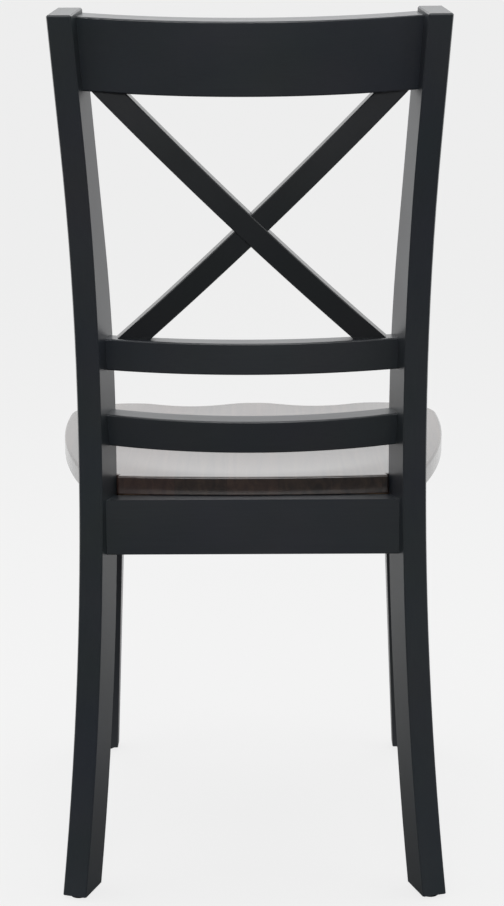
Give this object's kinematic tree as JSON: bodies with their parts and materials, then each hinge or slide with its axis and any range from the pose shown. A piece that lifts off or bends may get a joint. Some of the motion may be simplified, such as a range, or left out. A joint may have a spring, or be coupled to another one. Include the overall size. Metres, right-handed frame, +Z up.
{
  "type": "cross back dining chair",
  "caption": "Black wooden dining chair with a crossed-slat back between swept, outward-turned rear posts, a curved crest rail, tapered front legs and a scooped dark wood seat.",
  "frame": {"origin": "on the floor, under the middle of the chair's bounding box", "axes": "+Z up, the sitter faces -Y, +X to the sitter's left"},
  "size_m": [0.4684, 0.5258, 0.9776],
  "materials": {
    "frame_lacquer": "satin black lacquer over solid hardwood, long edges eased",
    "seat_wood": "solid wood staves stained dark walnut, semi-gloss clear coat",
    "raw_wood": "raw planed hardwood",
    "zinc_steel": "zinc plated steel",
    "glide_plastic": "moulded plastic glide"
  },
  "bodies": {
    "root": {"rear_post_left": "frame_lacquer", "rear_post_right": "frame_lacquer", "crest_rail": "frame_lacquer", "upper_back_rail": "frame_lacquer", "lower_back_rail": "frame_lacquer", "cross_slat_full": "frame_lacquer", "cross_slat_lapped": "frame_lacquer", "rear_apron": "frame_lacquer", "front_apron": "frame_lacquer", "side_apron_left": "frame_lacquer", "side_apron_right": "frame_lacquer", "front_leg_left": "frame_lacquer", "front_leg_right": "frame_lacquer", "seat_panel": "seat_wood", "front_corner_block_left": "raw_wood", "front_corner_block_right": "raw_wood", "rear_corner_block_left": "raw_wood", "rear_corner_block_right": "raw_wood", "slat_dowels": "raw_wood", "frame_dowels": "raw_wood", "hanger_bolts": "zinc_steel", "bolt_washers": "zinc_steel", "bolt_nuts": "zinc_steel", "block_screws": "zinc_steel", "seat_screws": "zinc_steel", "glide_nails": "zinc_steel", "leg_glides": "glide_plastic"}
  },
  "joints": []
}
